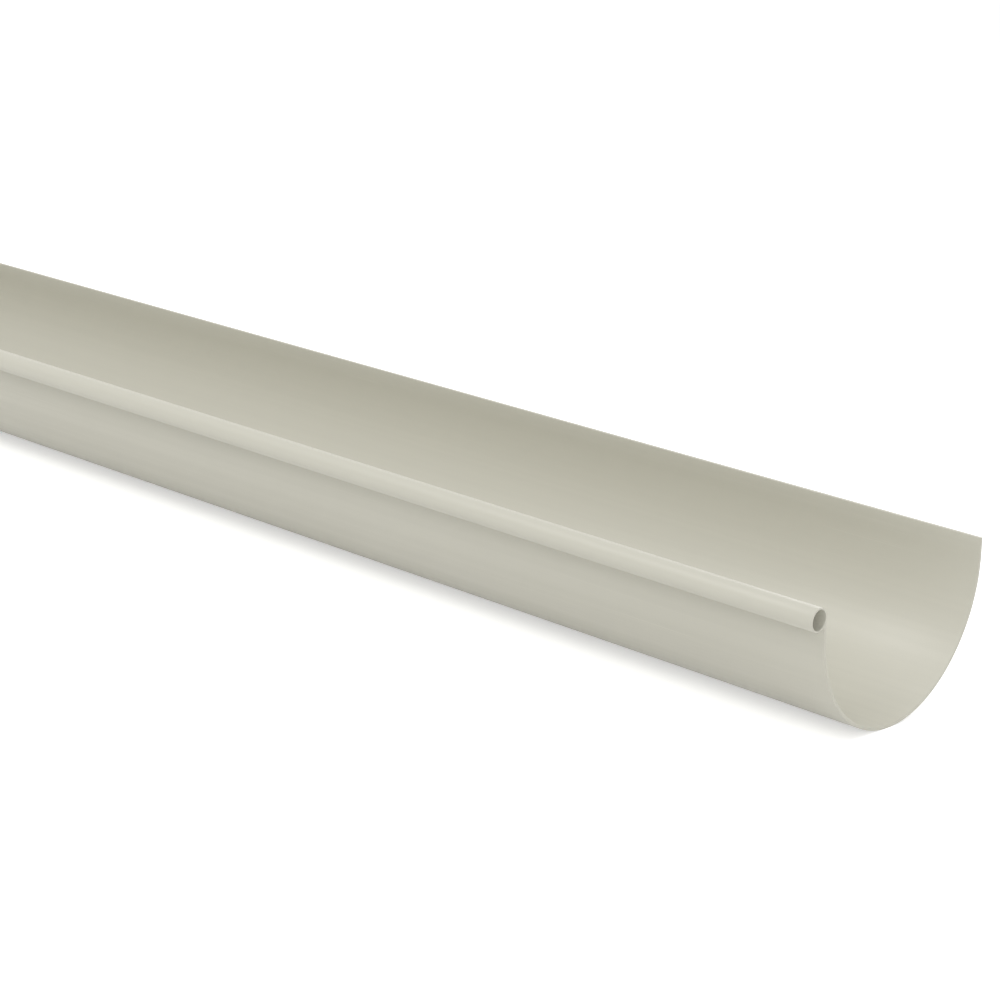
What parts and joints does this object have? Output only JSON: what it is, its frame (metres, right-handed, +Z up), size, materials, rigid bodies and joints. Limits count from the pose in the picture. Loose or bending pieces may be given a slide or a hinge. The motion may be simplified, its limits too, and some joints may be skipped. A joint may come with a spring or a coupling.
{
  "type": "half-round gutter section",
  "caption": "Long half-round roof gutter in satin sand-grey plastic, with a plain back rim and a hollow round bead along its front edge.",
  "frame": {"origin": "bottom centre of the bounding box: on the floor, halfway along the length", "axes": "+X along the gutter, +Z up; the beaded front edge is towards -Y and the plain back rim towards +Y"},
  "size_m": [2, 0.135, 0.0795],
  "materials": {
    "pvc": "satin"
  },
  "bodies": {
    "root": {"gutter_section": "pvc"}
  },
  "joints": []
}
